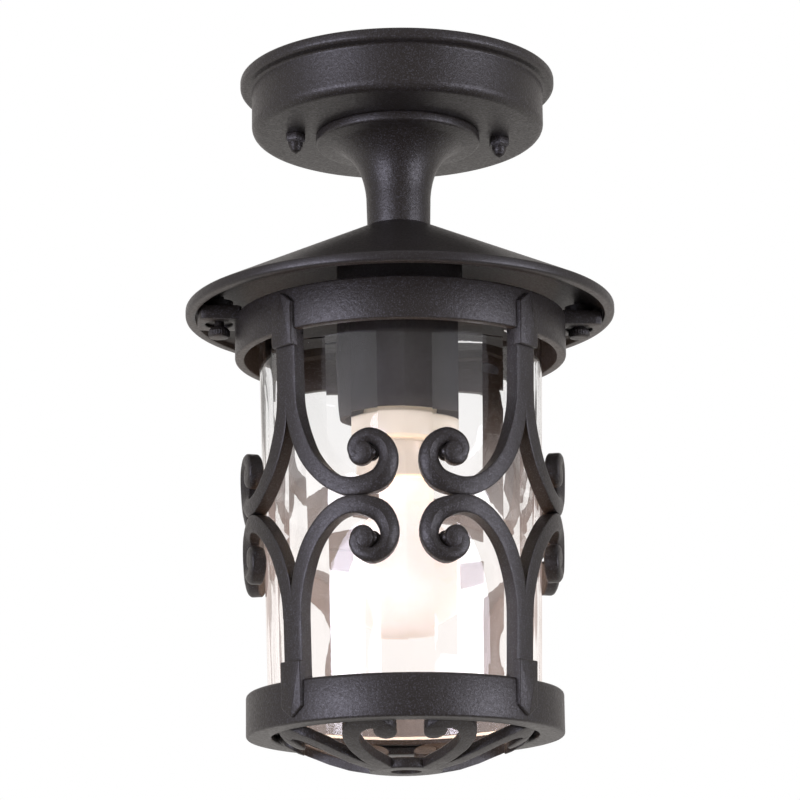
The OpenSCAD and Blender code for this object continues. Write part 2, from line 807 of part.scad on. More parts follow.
module bottom_ring()
  color(iron)
    difference() {
      union() {
        rotate_extrude()
          polygon(concat(arc(ring_bot_r - 1.6, z_base_top - 1.6, 1.6, 90, 0, 3),
            arc(ring_bot_r - 1.2, z_base + 1.2, 1.2, 0, -90, 2),
            [[lip_in + 0.6, z_base], [lip_in, z_base + 0.6], [lip_in, z_grille - gap],
             [ring_bot_in, z_grille - gap], [ring_bot_in, z_base_top]]));
        intersection() {
          rotate_extrude()
            polygon([[ring_bot_r - 3, z_base + 1], [cage_r(z_base) + cap_proud, z_base + 1],
              [cage_r(z_base_top + cap_lap) + cap_proud, z_base_top + cap_lap + 1],
              [cage_r(z_base_top + cap_lap) + 0.2, z_base_top + cap_lap + 1],
              [cage_r(z_base_top) + 0.2, z_base_top], [ring_bot_r - 3, z_base_top]]);
          for (a = [post_turn : 90 : post_turn + 270])
            rotate([0, 0, a])
              outward(60, 100)
                gable(post_w + 0.6, z_base_top + cap_lap, z_base + 2.6);
        }
      }
      for (a = [post_turn : 90 : post_turn + 270]) {
        rotate([0, 0, a])
          translate([60, 0, z_base_top - 6.5])
            rotate([0, 90, 0])
              cylinder(r = 2, h = ring_bot_r + 0.9 - 60, $fn = 32);
        rotate([0, 0, a - 22])
          translate([ring_bot_in - 2.9, 0, z_base - 1])
            cylinder(r = 1.5, h = 8, $fn = 24);
      }
    }

// ---------- glass ----------
module glass_cylinder()
  color([0.85, 0.92, 0.95, 0.4])
    rotate_extrude()
      polygon([[glass_low_r - glass_wall + 0.5, z_glass_low], [glass_low_r - 0.5, z_glass_low],
        [glass_low_r, z_glass_low + 0.5], [glass_top_r, z_glass_top - 0.5],
        [glass_top_r - 0.5, z_glass_top], [glass_top_r - glass_wall + 0.5, z_glass_top],
        [glass_top_r - glass_wall, z_glass_top - 0.5],
        [glass_low_r - glass_wall, z_glass_low + 0.5]]);

module glass_seat()
  color([0.85, 0.85, 0.83])
    washer(glass_low_r - glass_wall - 0.6, glass_low_r + 0.8, z_seat_ring, z_glass_low - z_seat_ring);

// ---------- grille ----------
rim_r = ring_bot_in - 0.6;
rim_in = rim_r - 11;
lyre_scale = lip_in / 67.5;
z_dome = z_base - grille_drop;
// underside of the dome as [radius, level]
function dome_low() = [[0, z_dome], [grille_boss_r, z_dome],
  [lip_in * 0.48, z_dome + grille_drop * 0.16], [lip_in * 0.66, z_dome + grille_drop * 0.39],
  [lip_in * 0.82, z_dome + grille_drop * 0.66], [lip_in * 0.91, z_dome + grille_drop * 0.85],
  [lip_in - 0.8, z_dome + grille_drop * 1.1]];
function dome_up() = [[lip_in - 0.8, z_seat_ring], [lip_in * 0.87, z_seat_ring],
  [lip_in * 0.78, z_dome + grille_t + grille_drop * 0.66],
  [lip_in * 0.63, z_dome + grille_t + grille_drop * 0.4],
  [lip_in * 0.46, z_dome + grille_t + grille_drop * 0.17],
  [grille_boss_r - 2, z_dome + grille_t], [0, z_dome + grille_t]];

// band of changing width along a curve, as an outline
function lyre_mid() = concat([[9, 12]], bez([9, 12], [31, 29], [40, 61], [15, 61.5], 14));
function lyre_side(s) = let (c = lyre_mid(), n = len(c) - 1)
  [for (i = [0 : n]) let (a = c[max(0, i - 1)], b = c[min(n, i + 1)], d = (b - a) / norm(b - a),
    w = 4.6 - 1.4 * i / n) c[i] + s * w * [-d[1], d[0]]];

module lyre()
  for (t = [0, 1])
    mirror([0, t, 0]) {
      polygon([for (p = concat(lyre_side(1), [for (i = [14 : -1 : 0]) lyre_side(-1)[i]]))
        [p[1], p[0]] * lyre_scale]);
      translate([58, 12.4] * lyre_scale)
        circle(r = 5.8 * lyre_scale, $fn = 32);
    }

module bottom_grille()
  color(iron)
    difference() {
      union() {
        washer(rim_in, rim_r, z_grille, rim_t);
        intersection() {
          rotate_extrude()
            polygon(concat(dome_low(), dome_up()));
          translate([0, 0, z_dome - 1])
            linear_extrude(height = grille_drop + 12)
              union() {
                circle(r = grille_boss_r);
                for (a = [0 : 90 : 270])
                  rotate(a + post_turn - 45)
                    lyre();
              }
        }
      }
      translate([0, 0, z_dome - 1])
        cylinder(r = grille_hole_r, h = grille_t + 2);
      for (a = [post_turn : 90 : post_turn + 270])
        rotate([0, 0, a - 22])
          translate([ring_bot_in - 2.9, 0, z_grille - 1])
            cylinder(r = 1.7, h = rim_t + 2, $fn = 24);
    }

module grille_screws()
  color(steel)
    for (a = [post_turn : 90 : post_turn + 270])
      rotate([0, 0, a - 22])
        translate([ring_bot_in - 2.9, 0, 0]) {
          translate([0, 0, z_seat_ring])
            cylinder(r = 2.2, h = 1.4, $fn = 24);
          translate([0, 0, z_base + 0.6])
            cylinder(r = 1.4, h = z_seat_ring - z_base - 0.5, $fn = 24);
        }

// ---------- parts ----------
mounting_bracket();
canopy_studs();
canopy();
canopy_gasket();
dome_nut_left();
dome_nut_right();
stem();
threaded_tube();
tube_washers();
tube_nuts();
roof();
glass_seal();
terminal_block();
terminal_sleeves();
earth_screw();
earth_tag();
earth_lead();
live_lead();
neutral_lead();
holder_bracket();
holder_screws();
lampholder_cup();
lampholder();
holder_terminals();
screw_shell();
centre_contact();
bulb_contact();
bulb_insulator();
bulb_cap();
bulb_envelope();
bulb_mount();
filament();
top_ring();
cage_screw_left();
cage_screw_right();
scroll_post_1();
scroll_post_2();
scroll_post_3();
scroll_post_4();
post_screws_top();
post_screws_bottom();
bottom_ring();
glass_cylinder();
glass_seat();
bottom_grille();
grille_screws();
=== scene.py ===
"""Porch ceiling lantern: castings, fluted glass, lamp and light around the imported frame."""

import math

import bmesh
import bpy
from mathutils import Matrix, Vector, noise


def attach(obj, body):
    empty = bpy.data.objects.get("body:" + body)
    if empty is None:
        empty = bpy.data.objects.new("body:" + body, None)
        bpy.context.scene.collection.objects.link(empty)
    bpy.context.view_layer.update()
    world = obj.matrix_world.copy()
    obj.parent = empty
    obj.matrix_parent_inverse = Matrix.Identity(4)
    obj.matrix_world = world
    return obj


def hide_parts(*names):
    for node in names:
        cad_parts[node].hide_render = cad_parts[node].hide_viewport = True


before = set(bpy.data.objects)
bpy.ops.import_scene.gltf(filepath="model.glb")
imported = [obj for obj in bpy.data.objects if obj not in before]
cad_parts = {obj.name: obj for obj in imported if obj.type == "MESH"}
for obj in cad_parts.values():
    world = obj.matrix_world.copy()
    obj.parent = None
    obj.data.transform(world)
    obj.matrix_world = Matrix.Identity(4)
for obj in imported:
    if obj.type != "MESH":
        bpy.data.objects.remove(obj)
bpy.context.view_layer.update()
MM = 0.001

# Levels and radii of the castings, in millimetres below the ceiling and from the axis.
SEAT, RIM = -82.8, -133.2
RING_TOP, RING_LOW, SEAM, BASE_TOP, BASE = -133.3, -155.3, -244.3, -333.3, -355.3
RING_R, BASE_R, WALL, LIP_IN = 87.4, 81.9, 4.9, 68.9
MIDDLE_R, POST_DEEP, POST_WIDE = 84.65, 8.0, 13.2
EAR_X, EAR_TOP, EAR_LOW = 95.8, -129.69, -137.29
POST_AT, SCREW_OUT = 41.4, 2.6
GRILLE_LOW, GRILLE_DEEP = -372.8, 5.5
POST_ANGLES = [POST_AT + 90 * k for k in range(4)]
# Degrees from the lantern's front to where the camera stands, to the left.
VIEW_TURN = 6.0


def cage_r(z):
    return BASE_R + (z - BASE_TOP) * (RING_R - BASE_R) / (RING_LOW - BASE_TOP)


def roof_z(r):
    return SEAT - (r - 17.8) * 45.4 / 95.7


# ---------- shader groups and finishes ----------
def new_group(name, ins, outs):
    tree = bpy.data.node_groups.new(name, "ShaderNodeTree")
    for label, kind, value in ins:
        socket = tree.interface.new_socket(label, in_out="INPUT", socket_type=kind)
        socket.default_value = value
    for label, kind in outs:
        tree.interface.new_socket(label, in_out="OUTPUT", socket_type=kind)
    return tree, tree.nodes.new("NodeGroupInput"), tree.nodes.new("NodeGroupOutput")


def noise_at(tree, where, scale, detail=2.0, rough=0.55):
    node = tree.nodes.new("ShaderNodeTexNoise")
    node.inputs["Detail"].default_value = detail
    node.inputs["Roughness"].default_value = rough
    if isinstance(scale, (int, float)):
        node.inputs["Scale"].default_value = scale
    else:
        tree.links.new(scale, node.inputs["Scale"])
    tree.links.new(where, node.inputs["Vector"])
    return node.outputs["Fac"]


def spread(tree, value, low, high, to_low=0.0, to_high=1.0):
    node = tree.nodes.new("ShaderNodeMapRange")
    node.inputs["From Min"].default_value = low
    node.inputs["From Max"].default_value = high
    node.inputs["To Min"].default_value = to_low
    node.inputs["To Max"].default_value = to_high
    tree.links.new(value, node.inputs["Value"])
    return node.outputs["Result"]


def blend_colour(tree, share, a, b):
    node = tree.nodes.new("ShaderNodeMix")
    node.data_type = "RGBA"
    tree.links.new(share, node.inputs["Factor"])
    for socket, value in ((node.inputs["A"], a), (node.inputs["B"], b)):
        if isinstance(value, tuple):
            socket.default_value = (*value, 1)
        else:
            tree.links.new(value, socket)
    return node.outputs["Result"]


def arithmetic(tree, kind, a, b):
    node = tree.nodes.new("ShaderNodeMath")
    node.operation = kind
    for socket, value in zip(node.inputs, (a, b)):
        if isinstance(value, (int, float)):
            socket.default_value = value
        else:
            tree.links.new(value, socket)
    return node.outputs[0]


def object_place(tree):
    """Coordinates that stay with the piece."""
    return tree.nodes.new("ShaderNodeTexCoord").outputs["Object"]


def height_at(tree, where):
    split = tree.nodes.new("ShaderNodeSeparateXYZ")
    tree.links.new(where, split.inputs["Vector"])
    return split.outputs["Z"]


def drawn_out(tree, where, upright):
    """Coordinates shrunk upright, so that a noise on them makes upright streaks."""
    mapping = tree.nodes.new("ShaderNodeMapping")
    mapping.inputs["Scale"].default_value = (1, 1, upright)
    tree.links.new(where, mapping.inputs["Vector"])
    return mapping.outputs["Vector"]


def shader_mix(tree, share, a, b):
    mix = tree.nodes.new("ShaderNodeMixShader")
    tree.links.new(share, mix.inputs["Fac"])
    tree.links.new(a, mix.inputs[1])
    tree.links.new(b, mix.inputs[2])
    return mix.outputs["Shader"]


def ray_is(tree, *rays):
    """1 for the named kinds of ray, 0 for the rest."""
    path = tree.nodes.new("ShaderNodeLightPath")
    seen = path.outputs[rays[0]]
    for ray in rays[1:]:
        seen = arithmetic(tree, "MAXIMUM", seen, path.outputs[ray])
    return seen


def sand_coat_group():
    """Powder coat over a sand casting: fine grit, pale flecks and slow changes of tone."""
    tree, given, out = new_group(
        "sand_coat",
        [
            ("Coat", "NodeSocketColor", (0.02, 0.02, 0.022, 1)),
            ("Fleck", "NodeSocketColor", (0.2, 0.2, 0.22, 1)),
            ("Grit per metre", "NodeSocketFloat", 900.0),
            ("Dull", "NodeSocketFloat", 0.55),
        ],
        [
            ("Colour", "NodeSocketColor"),
            ("Roughness", "NodeSocketFloat"),
            ("Height", "NodeSocketFloat"),
        ],
    )
    where = object_place(tree)
    grit = noise_at(tree, where, given.outputs["Grit per metre"], 3.0, 0.65)
    flecks = spread(tree, noise_at(tree, where, 1500.0, 1.0, 0.4), 0.54, 0.7)
    tone = noise_at(tree, where, 22.0, 3.0)
    orange_peel = noise_at(tree, where, 240.0, 2.0)
    worn = blend_colour(
        tree, spread(tree, tone, 0.3, 0.7, 0.0, 0.4), given.outputs["Coat"], (0.022, 0.0185, 0.0165)
    )
    tree.links.new(
        blend_colour(
            tree, arithmetic(tree, "MULTIPLY", flecks, 0.5), worn, given.outputs["Fleck"]
        ),
        out.inputs["Colour"],
    )
    dull = arithmetic(
        tree, "ADD", given.outputs["Dull"], spread(tree, grit, 0.3, 0.7, -0.1, 0.1)
    )
    tree.links.new(dull, out.inputs["Roughness"])
    height = arithmetic(
        tree, "ADD", grit, arithmetic(tree, "MULTIPLY", orange_peel, 0.6)
    )
    tree.links.new(height, out.inputs["Height"])
    return tree


def fine_grain_group():
    """Plain stock: a tone that drifts slightly, fine scratches along one way, small dents."""
    tree, given, out = new_group(
        "fine_grain",
        [
            ("Tone", "NodeSocketColor", (0.5, 0.5, 0.5, 1)),
            ("Shade", "NodeSocketColor", (0.4, 0.4, 0.4, 1)),
            ("Grain per metre", "NodeSocketFloat", 400.0),
            ("Along", "NodeSocketVector", (1, 1, 1)),
            ("Dull", "NodeSocketFloat", 0.4),
        ],
        [
            ("Colour", "NodeSocketColor"),
            ("Roughness", "NodeSocketFloat"),
            ("Height", "NodeSocketFloat"),
        ],
    )
    place = object_place(tree)
    stretch = tree.nodes.new("ShaderNodeVectorMath")
    stretch.operation = "MULTIPLY"
    tree.links.new(place, stretch.inputs[0])
    tree.links.new(given.outputs["Along"], stretch.inputs[1])
    grain = noise_at(tree, stretch.outputs[0], given.outputs["Grain per metre"], 3.0)
    drift = noise_at(tree, place, 35.0, 2.0)
    share = spread(tree, arithmetic(tree, "ADD", grain, drift), 0.75, 1.25)
    tree.links.new(
        blend_colour(tree, share, given.outputs["Tone"], given.outputs["Shade"]),
        out.inputs["Colour"],
    )
    tree.links.new(
        arithmetic(
            tree, "ADD", given.outputs["Dull"], spread(tree, grain, 0.3, 0.7, -0.06, 0.06)
        ),
        out.inputs["Roughness"],
    )
    tree.links.new(grain, out.inputs["Height"])
    return tree


def finish(name, group, values, bump, deep, **sockets):
    """A Principled material fed by a grain group; sockets are its other, plain values."""
    made = bpy.data.materials.new(name)
    made.use_nodes = True
    tree = made.node_tree
    shader = tree.nodes["Principled BSDF"]
    grain = tree.nodes.new("ShaderNodeGroup")
    grain.node_tree = group
    for label, value in values.items():
        grain.inputs[label].default_value = value
    tree.links.new(grain.outputs["Colour"], shader.inputs["Base Color"])
    tree.links.new(grain.outputs["Roughness"], shader.inputs["Roughness"])
    relief = tree.nodes.new("ShaderNodeBump")
    relief.inputs["Strength"].default_value = bump
    relief.inputs["Distance"].default_value = deep * MM
    tree.links.new(grain.outputs["Height"], relief.inputs["Height"])
    tree.links.new(relief.outputs["Normal"], shader.inputs["Normal"])
    for label, value in sockets.items():
        shader.inputs[label.replace("_", " ")].default_value = value
    return made


SAND = sand_coat_group()
GRAIN = fine_grain_group()


def coat(name, tone, fleck, grit, dull, bump, deep):
    return finish(
        name,
        SAND,
        {"Coat": (*tone, 1), "Fleck": (*fleck, 1), "Grit per metre": grit, "Dull": dull},
        bump,
        deep,
        Specular_IOR_Level=0.5,
    )


def stock(name, tone, shade, dull, metal=0.0, per_metre=400.0, along=(1, 1, 1), bump=0.15, **more):
    return finish(
        name,
        GRAIN,
        {
            "Tone": (*tone, 1),
            "Shade": (*shade, 1),
            "Grain per metre": per_metre,
            "Along": along,
            "Dull": dull,
        },
        bump,
        0.1,
        Metallic=metal,
        **more,
    )


SAND_BLACK = coat(
    "sand_black", (0.016, 0.0125, 0.0095), (0.085, 0.085, 0.098), 700.0, 0.42, 0.9, 0.22
)
ROOF_BLACK = coat("roof_black", (0.014, 0.011, 0.0098), (0.05, 0.05, 0.05), 700.0, 0.4, 0.4, 0.1)
HOLDER_BLACK = coat("cup_black", (0.009, 0.0062, 0.0045), (0.03, 0.03, 0.03), 500.0, 0.7, 0.3, 0.1)
ZINC = stock("zinc_plate", (0.62, 0.63, 0.64), (0.5, 0.51, 0.53), 0.34, 1.0, 300.0, (1, 6, 1))
BRASS = stock("plain_brass", (0.72, 0.54, 0.26), (0.6, 0.43, 0.2), 0.3, 1.0, 300.0, (1, 1, 4))
NICKEL = stock("nickel_cap", (0.7, 0.69, 0.66), (0.6, 0.59, 0.56), 0.25, 1.0, 500.0)
FOAM = stock("foam_rubber", (0.03, 0.03, 0.03), (0.015, 0.015, 0.015), 0.85, 0.0, 1800.0, bump=0.6)
SILICONE = stock("silicone", (0.78, 0.78, 0.75), (0.7, 0.7, 0.68), 0.45, 0.0, 500.0)
NYLON = stock("white_nylon", (0.86, 0.84, 0.78), (0.8, 0.78, 0.71), 0.4, 0.0, 700.0)
VITRITE = stock("black_vitrite", (0.02, 0.02, 0.022), (0.03, 0.03, 0.03), 0.12, 0.0, 300.0)
BROWN_LEAD = stock("brown_insulation", (0.2, 0.085, 0.035), (0.16, 0.065, 0.03), 0.42, 0.0, 600.0)
BLUE_LEAD = stock("blue_insulation", (0.04, 0.13, 0.42), (0.03, 0.1, 0.35), 0.42, 0.0, 600.0)
FILAMENT = stock("filament_wire", (0.9, 0.7, 0.4), (0.8, 0.6, 0.3), 0.4, 1.0, 900.0)
STEM_GLASS = stock(
    "lamp_mount_glass", (0.8, 0.84, 0.85), (0.74, 0.78, 0.8), 0.1, 0.0, 200.0, bump=0.03
)


def earth_insulation():
    """Green lead with a yellow stripe."""
    made = stock("earth_insulation", (0.09, 0.36, 0.07), (0.08, 0.3, 0.06), 0.42, 0.0, 600.0)
    tree = made.node_tree
    shader = tree.nodes["Principled BSDF"]
    green = shader.inputs["Base Color"].links[0].from_socket
    where = object_place(tree)
    wave = tree.nodes.new("ShaderNodeTexWave")
    wave.inputs["Scale"].default_value = 90.0
    tree.links.new(where, wave.inputs["Vector"])
    stripe = spread(tree, wave.outputs["Fac"], 0.55, 0.62)
    tree.links.new(
        blend_colour(tree, stripe, green, (0.75, 0.62, 0.05)), shader.inputs["Base Color"]
    )
    return made


def clear_glass():
    """Cast glass with faint ream and a painted warm glow towards its foot, where it is also greyer;
    lamps shine through.
    """
    made = bpy.data.materials.new("fluted_glass")
    made.use_nodes = True
    tree = made.node_tree
    shader = tree.nodes["Principled BSDF"]
    shader.inputs["Roughness"].default_value = 0.0
    shader.inputs["IOR"].default_value = 1.47
    shader.inputs["Transmission Weight"].default_value = 1.0
    shader.inputs["Emission Strength"].default_value = 0.085
    where = object_place(tree)
    broad_ream = noise_at(tree, drawn_out(tree, where, 0.3), 60.0, 1.0)
    fine_ream = noise_at(tree, drawn_out(tree, where, 0.04), 260.0, 1.0)
    relief = tree.nodes.new("ShaderNodeBump")
    relief.inputs["Strength"].default_value = 0.1
    relief.inputs["Distance"].default_value = 0.5 * MM
    tree.links.new(
        arithmetic(tree, "ADD", broad_ream, arithmetic(tree, "MULTIPLY", fine_ream, 0.22)),
        relief.inputs["Height"],
    )
    tree.links.new(relief.outputs["Normal"], shader.inputs["Normal"])
    # Painted light: a warm glow in upright streaks, strongest at the foot, stands in for the lamp's
    # light in the glass.
    towards_foot = spread(tree, height_at(tree, where), -0.19, -0.26)
    glow_streaks = noise_at(tree, drawn_out(tree, where, 0.12), 110.0, 2.0)
    painted_glow = arithmetic(tree, "MULTIPLY", towards_foot, spread(tree, glow_streaks, 0.3, 0.7, 0.7, 1.15))
    tree.links.new(
        blend_colour(tree, painted_glow, (0.0, 0.0, 0.0), (1.0, 0.78, 0.71)),
        shader.inputs["Emission Color"],
    )
    # The glass is greyer towards its foot, which keeps the painted glow from washing out.
    tree.links.new(
        blend_colour(tree, towards_foot, (0.99, 0.985, 0.98), (0.87, 0.875, 0.87)),
        shader.inputs["Base Color"],
    )
    clear = tree.nodes.new("ShaderNodeBsdfTransparent")
    clear.inputs["Color"].default_value = (0.93, 0.94, 0.94, 1)
    both = shader_mix(
        tree, ray_is(tree, "Is Shadow Ray"), shader.outputs["BSDF"], clear.outputs["BSDF"]
    )
    tree.links.new(both, tree.nodes["Material Output"].inputs["Surface"])
    return made


def lit_opal():
    """White-coated bulb, lit: warm at its neck, paler below, much dimmer in a mirror image."""
    made = stock("lit_opal", (0.95, 0.92, 0.86), (0.9, 0.87, 0.8), 0.3, 0.0, 60.0, bump=0.02)
    tree = made.node_tree
    shader = tree.nodes["Principled BSDF"]
    shader.inputs["Emission Strength"].default_value = 2.2
    from_neck = spread(tree, height_at(tree, object_place(tree)), -0.225, -0.275)
    glow = blend_colour(tree, from_neck, (1.0, 0.62, 0.34), (1.0, 0.86, 0.68))
    path = tree.nodes.new("ShaderNodeLightPath")
    mirrored = path.outputs["Is Glossy Ray"]
    # Light that has bounced in the glass has a gloss bounce, or more than one wall behind it.
    for depth, most in (("Glossy Depth", 0.5), ("Transmission Depth", 2.5)):
        deeper = arithmetic(tree, "GREATER_THAN", path.outputs[depth], most)
        mirrored = arithmetic(tree, "MAXIMUM", mirrored, deeper)
    tree.links.new(
        blend_colour(tree, mirrored, glow, (0.16, 0.12, 0.095)), shader.inputs["Emission Color"]
    )
    return made


def lit_ceramic():
    """Glazed ceramic with a painted glow in place of the lamp's light on it, more on its flange."""
    made = stock(
        "cream_ceramic", (0.8, 0.72, 0.57), (0.74, 0.66, 0.52), 0.22, 0.0, 120.0, bump=0.05,
        Coat_Weight=0.5, Coat_Roughness=0.12,
    )
    tree = made.node_tree
    shader = tree.nodes["Principled BSDF"]
    shader.inputs["Emission Strength"].default_value = 0.16
    # Painted light: the emission paints the lamp's warm light on the ceramic, dimmer below its
    # flange.
    dimmer_below_flange = spread(tree, height_at(tree, object_place(tree)), -0.2026, -0.2034)
    tree.links.new(
        blend_colour(tree, dimmer_below_flange, (1.0, 0.8, 0.58), (0.5, 0.38, 0.3)),
        shader.inputs["Emission Color"],
    )
    return made


EARTH_LEAD, GLASS, OPAL, CERAMIC = (
    earth_insulation(), clear_glass(), lit_opal(), lit_ceramic()
)


# ---------- ways of making a piece ----------
def outline(corners):
    """A flat face in the XZ plane from (across, up, corner radius), its corners rounded."""
    bm = bmesh.new()
    verts = [bm.verts.new((x, 0, z)) for x, z, _ in corners]
    bm.faces.new(verts)
    spots = [v.co.copy() for v in verts]
    for i, (vert, (_, _, radius)) in enumerate(zip(verts, corners)):
        if radius:
            a = spots[i - 1] - spots[i]
            b = spots[(i + 1) % len(spots)] - spots[i]
            reach = radius / math.tan(a.angle(b) / 2)
            if radius < 0.3:
                reach = min(reach, 0.49 * min(a.length, b.length))
            steps = 3 if radius < 2 else 6
            bmesh.ops.bevel(
                bm, geom=[vert], offset=reach, offset_type="OFFSET", segments=steps,
                profile=0.5, affect="VERTICES", material=-1,
            )
    return bm


def turned(corners, steps=144):
    """The outline spun round the lantern's axis."""
    bm = outline(corners)
    bmesh.ops.delete(bm, geom=bm.faces[:], context="FACES_ONLY")
    axis = [e for e in bm.edges if all(abs(v.co.x) < 1e-5 for v in e.verts)]
    bmesh.ops.delete(bm, geom=axis, context="EDGES")
    bmesh.ops.spin(
        bm, geom=bm.verts[:] + bm.edges[:], cent=(0, 0, 0), axis=(0, 0, 1),
        angle=math.tau, steps=steps, use_merge=True,
    )
    return bm


def swept(sections, ring=False):
    """Skin over closed sections, each drawn on from the one before. A ring meets its start."""
    bm = bmesh.new()
    first = [bm.verts.new(p) for p in sections[0]]
    edges = [bm.edges.new(pair) for pair in zip(first, first[1:] + first[:1])]
    if not ring:
        bm.faces.new(first)
    last = first
    for section in sections[1:]:
        grown = bmesh.ops.extrude_edge_only(bm, edges=edges)["geom"]
        fresh = {g for g in grown if isinstance(g, bmesh.types.BMVert)}
        last = [
            next(e.other_vert(v) for e in v.link_edges if e.other_vert(v) in fresh) for v in last
        ]
        edges = [
            next(e for e in a.link_edges if e.other_vert(a) is b)
            for a, b in zip(last, last[1:] + last[:1])
        ]
        for vert, spot in zip(last, section):
            vert.co = spot
    if ring:
        bmesh.ops.bridge_loops(bm, edges=edges + [
            next(e for e in a.link_edges if e.other_vert(a) is b)
            for a, b in zip(first, first[1:] + first[:1])
        ])
    else:
        bm.faces.new(last)
    return bm


def joined(*meshes):
    """Several bmeshes as one."""
    whole = bmesh.new()
    for bm in meshes:
        part = bpy.data.meshes.new("part")
        bm.to_mesh(part)
        bm.free()
        whole.from_mesh(part)
        bpy.data.meshes.remove(part)
    return whole


def moved(bm, angle=0.0, x=0.0, z=0.0):
    """The bmesh turned about the axis after it is shifted."""
    place = Matrix.Rotation(math.radians(angle), 4, "Z") @ Matrix.Translation((x, 0, z))
    bmesh.ops.transform(bm, matrix=place, verts=bm.verts[:])
    return bm


def piece(name, bm, body, nodes, material, sharp=32.0):
    """The finished piece, in metres, riding on its body and standing for CAD nodes."""
    bmesh.ops.remove_doubles(bm, verts=bm.verts[:], dist=0.004)
    bmesh.ops.dissolve_degenerate(bm, edges=bm.edges[:], dist=0.0005)
    bmesh.ops.recalc_face_normals(bm, faces=bm.faces[:])
    bmesh.ops.scale(bm, vec=(MM, MM, MM), verts=bm.verts[:])
    mesh = bpy.data.meshes.new(name)
    bm.to_mesh(mesh)
    bm.free()
    mesh.shade_smooth()
    mesh.set_sharp_from_angle(angle=math.radians(sharp))
    mesh.materials.append(material)
    made = bpy.data.objects.new(name, mesh)
    bpy.context.scene.collection.objects.link(made)
    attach(made, body)
    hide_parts(*nodes)
    return made


def through(stations, steps):
    """Smooth values through stations, each a list of numbers (Catmull-Rom)."""
    out = []
    for i in range(len(stations) - 1):
        four = [stations[max(0, min(len(stations) - 1, i + k))] for k in (-1, 0, 1, 2)]
        for j in range(steps):
            t = j / steps
            out.append([
                0.5 * (2 * b + (c - a) * t + (2 * a - 5 * b + 4 * c - d) * t * t
                       + (3 * b - a - 3 * c + d) * t * t * t)
                for a, b, c, d in zip(*four)
            ])
    return out + [list(stations[-1])]


def bar_sections(stations, steps, place, front=13):
    """Sections of a flat-backed bar along a curve. A station is across, up, width, depth,
    edge rounding, ridge, rounding of the inner edge, squareness. place(u, h, d) sets a point."""
    track = through(stations, steps)
    sections = []
    for i, (u, h, wide, deep, edge, ridge, inner, square) in enumerate(track):
        before, after = track[max(0, i - 1)], track[min(len(track) - 1, i + 1)]
        du, dh = after[0] - before[0], after[1] - before[1]
        long = math.hypot(du, dh)
        nu, nh = dh / long, -du / long
        points = [(-wide / 2 + 0.5, 0.0), (-wide / 2, 0.5)]
        for k in range(front):
            turn = math.radians(-90 + 180 * k / (front - 1))
            s, c = math.sin(turn), math.cos(turn)
            s = math.copysign(abs(s) ** (2 / square), s)
            c = abs(c) ** (2 / square)
            drop = edge * (1 - c) * (inner if s > 0 else 1.0)
            # A softened crest, a little off the middle of the bar.
            drop += ridge * max(0.0, math.sqrt((s - 0.1) ** 2 + 0.002) - 0.045)
            points.append((s * wide / 2, max(0.6, deep - drop)))
        points += [(wide / 2, 0.5), (wide / 2 - 0.5, 0.0)]
        sections.append([place(u + a * nu, h + a * nh, d) for a, d in points])
    return sections


# ---------- canopy, stem and roof ----------
def canopy():
    bm = turned([
        (83.0, 0, 0), (84.5, 0, 1.4), (84.5, -6.2, 2.4), (78.3, -6.2, 1.6), (78.3, -31, 5.0),
        (5.4, -31, 0), (5.4, -27.5, 0), (71.3, -27.5, 3), (75.3, -23.5, 0), (75.3, 0, 0),
        (79.4, 0, 0), (79.4, -2.2, 0), (82.6, -2.2, 0), (82.6, 0, 0),
    ], 180)
    piece("canopy_casting", bm, "fixture", ["canopy"], SAND_BLACK)


def stem():
    flare = through([
        (17.2, -66.0), (17.7, -61.5), (19.0, -55.5), (21.3, -49.5), (25.0, -43.8), (30.2, -39.0),
        (34.5, -36.6),
    ], 4)
    inside = through([(27, -31), (22, -37.5), (15.5, -47), (13.2, -58), (13, -66)], 4)
    corners = [(5.4, -78, 0), (5.4, -82.75, 0), (16.8, -82.75, 0.3)]
    corners += [(r, z, 0) for r, z in flare]
    corners += [(44, -36.2, 1.6), (44, -31, 1.0), (29, -31, 0)]
    corners += [(r, z, 0) for r, z in inside] + [(13, -78, 0)]
    piece("stem_casting", turned(corners, 120), "fixture", ["stem"], SAND_BLACK, 40)


def roof():
    under, boss_top = 3.6, roof_z(103.4) - 1.6
    shell = turned([
        (5.4, SEAT, 0), (17.8, SEAT, 0.8), (113.5, roof_z(113.5), 1.2), (113.5, RIM, 1.6),
        (108.2, RIM, 0.5), (108.2, roof_z(108.2) - under, 2.2), (30, roof_z(30) - under, 2),
        (24, -94, 2), (24, -96, 0), (5.4, -96, 0),
    ], 192)
    bosses = []
    for side in (-1, 1):
        boss = turned([
            (2.6, EAR_TOP + 0.2, 0), (7.4, EAR_TOP + 0.2, 0.4), (7.4, boss_top, 0),
            (2.6, boss_top, 0),
        ], 40)
        bosses.append(moved(boss, x=side * EAR_X))
    piece("roof_casting", joined(shell, *bosses), "fixture", ["roof"], ROOF_BLACK)


